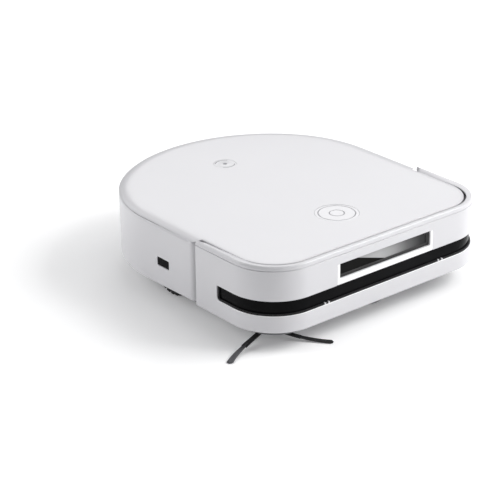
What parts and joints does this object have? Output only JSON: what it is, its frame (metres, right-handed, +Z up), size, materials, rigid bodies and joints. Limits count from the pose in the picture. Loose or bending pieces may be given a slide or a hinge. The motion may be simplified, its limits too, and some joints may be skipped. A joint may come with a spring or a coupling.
{
  "type": "robot vacuum",
  "caption": "Low robot vacuum with a squared nose, round tail, sprung bumper with a dark sensor band, lift-off cover, dust bin, drive wheels, caster, main brush and side brush.",
  "frame": {"origin": "on the floor, below the middle of the body's outline (halfway along its 353 mm length, side brush left out)", "axes": "+Z up from the floor; the nose with the bumper points along -Y; the robot's left side is +X"},
  "size_m": [0.3512, 0.3629, 0.095],
  "materials": {
    "white_shell": "satin",
    "white_cover": "satin gloss",
    "badge": "satin",
    "mark_grey": "printed",
    "pan_grey": "fine texture",
    "inner_grey": "matte",
    "inner_dark": "matte",
    "deck_white": "matte",
    "dark_window": "polished",
    "lens": "coated",
    "contact_metal": "plated",
    "battery_skin": "shrink sleeve",
    "board": "solder mask",
    "steel": "ground",
    "switch_red": "matte",
    "tyre": "matte",
    "caster_white": "matte",
    "rim_grey": "matte",
    "bearing_red": "matte",
    "roller_core": "matte",
    "roller_rubber": "matte",
    "guard_grey": "matte",
    "brush_hub": "matte",
    "brush_arm": "matte",
    "bin_smoke": "smoked",
    "lid_grey": "matte",
    "handle_blue": "matte",
    "filter_paper": "pleated",
    "seal_rubber": "matte"
  },
  "bodies": {
    "chassis": {"chassis_base": "pan_grey", "side_shell": "white_shell", "front_frame": "inner_grey", "top_deck": "deck_white", "bin_well": "inner_grey", "exhaust_grille": "white_shell", "side_sensor_window": "dark_window", "charging_contacts": "contact_metal", "battery_pack": "battery_skin", "battery_cover": "pan_grey", "main_board": "board", "fan_housing": "inner_dark", "fan_motor": "steel", "caster_socket": "inner_dark", "brush_tunnel": "inner_dark", "brush_bearings": "bearing_red", "brush_gearbox": "inner_dark", "side_brush_motor": "inner_dark", "wheel_housing_left": "inner_dark", "wheel_housing_right": "inner_dark", "suspension_spring_left": "steel", "suspension_spring_right": "steel", "front_camera": "inner_dark", "camera_lens": "lens", "depth_sensor": "inner_dark", "depth_sensor_lenses": "lens", "line_lasers": "inner_dark", "bumper_switches": "switch_red", "bumper_springs": "steel", "cliff_windows": "dark_window", "base_screws": "steel"},
    "bumper": {"bumper_shell": "white_shell", "ir_visor": "dark_window", "window_bezel": "white_shell", "front_window": "dark_window"},
    "cover": {"top_cover": "white_cover", "cover_emblem": "badge"},
    "start": {"start_button": "white_cover", "start_marks": "mark_grey"},
    "power": {"power_button": "rim_grey"},
    "bin": {"dust_bin": "bin_smoke", "bin_lid": "lid_grey", "bin_filter": "filter_paper", "bin_seal": "seal_rubber"},
    "bail": {"bin_handle": "handle_blue"},
    "guard": {"brush_guard": "guard_grey"},
    "fan": {"fan_impeller": "inner_dark"},
    "caster": {"caster_fork": "rim_grey", "caster_axle": "steel"},
    "caster_roll": {"caster_wheel": "caster_white"},
    "main_brush": {"brush_core": "roller_core", "brush_blades": "roller_rubber"},
    "side_brush": {"side_brush_hub": "brush_hub", "side_brush_arms": "brush_arm"},
    "arm_left": {"wheel_arm_left": "inner_dark"},
    "arm_right": {"wheel_arm_right": "inner_dark"},
    "wheel_left": {"wheel_rim_left": "rim_grey", "tyre_left": "tyre"},
    "wheel_right": {"wheel_rim_right": "rim_grey", "tyre_right": "tyre"}
  },
  "joints": [
    {"name": "bumper_press", "type": "slide", "parent": "chassis", "child": "bumper", "axis": [0, 1, 0], "range_m": [0, 0.003], "stiffness_N_per_m": 900, "springref_m": -0.003, "deforming": ["bumper_springs"]},
    {"name": "cover_lift", "type": "slide", "parent": "chassis", "child": "cover", "axis": [0, 0, 1], "range_m": [0, 0.13]},
    {"name": "bin_lift", "type": "slide", "parent": "chassis", "child": "bin", "axis": [0, 0, 1], "range_m": [0, 0.065]},
    {"name": "bin_handle_fold", "type": "hinge", "parent": "bin", "child": "bail", "pos_m": [0, 0.026, 0.0848], "axis": [1, 0, 0], "range_deg": [0, 90.01]},
    {"name": "start_press", "type": "slide", "parent": "cover", "child": "start", "axis": [0, 0, -1], "range_m": [0, 0.0007], "stiffness_N_per_m": 800, "springref_m": -0.0005},
    {"name": "power_press", "type": "slide", "parent": "chassis", "child": "power", "axis": [0, 0, -1], "range_m": [0, 0.001], "stiffness_N_per_m": 800, "springref_m": -0.0005},
    {"name": "guard_open", "type": "hinge", "parent": "chassis", "child": "guard", "pos_m": [0, -0.014, 0.013], "axis": [1, 0, 0], "range_deg": [0, 90]},
    {"name": "fan_spin", "type": "hinge", "parent": "chassis", "child": "fan", "pos_m": [0, 0.125, 0.04], "axis": [0, 0, 1], "continuous": true},
    {"name": "caster_swivel", "type": "hinge", "parent": "chassis", "child": "caster", "pos_m": [0, -0.1405, 0.03], "axis": [0, 0, 1], "continuous": true},
    {"name": "caster_spin", "type": "hinge", "parent": "caster", "child": "caster_roll", "pos_m": [0, -0.1335, 0.012], "axis": [1, 0, 0], "continuous": true},
    {"name": "main_brush_spin", "type": "hinge", "parent": "chassis", "child": "main_brush", "pos_m": [0, -0.048, 0.026], "axis": [1, 0, 0], "continuous": true},
    {"name": "side_brush_spin", "type": "hinge", "parent": "chassis", "child": "side_brush", "pos_m": [-0.124, -0.1315, 0.012], "axis": [0, 0, 1], "continuous": true},
    {"name": "suspension_left", "type": "hinge", "parent": "chassis", "child": "arm_left", "pos_m": [0.101, -0.018, 0.04], "axis": [1, 0, 0], "range_deg": [-20, 0], "stiffness_Nm_per_rad": 0.6, "springref_deg": -28.65, "deforming": ["suspension_spring_left"]},
    {"name": "suspension_right", "type": "hinge", "parent": "chassis", "child": "arm_right", "pos_m": [-0.101, -0.018, 0.04], "axis": [1, 0, 0], "range_deg": [-20, 0], "stiffness_Nm_per_rad": 0.6, "springref_deg": -28.65, "deforming": ["suspension_spring_right"]},
    {"name": "wheel_spin_left", "type": "hinge", "parent": "arm_left", "child": "wheel_left", "pos_m": [0.124, 0.014, 0.036], "axis": [1, 0, 0], "continuous": true},
    {"name": "wheel_spin_right", "type": "hinge", "parent": "arm_right", "child": "wheel_right", "pos_m": [-0.124, 0.014, 0.036], "axis": [1, 0, 0], "continuous": true}
  ],
  "couplings": [
    {"joint": "bin_lift", "follows": "cover_lift", "ratio": 0.5},
    {"joint": "bin_handle_fold", "follows": "cover_lift", "rad_per_m": 12.083}
  ]
}
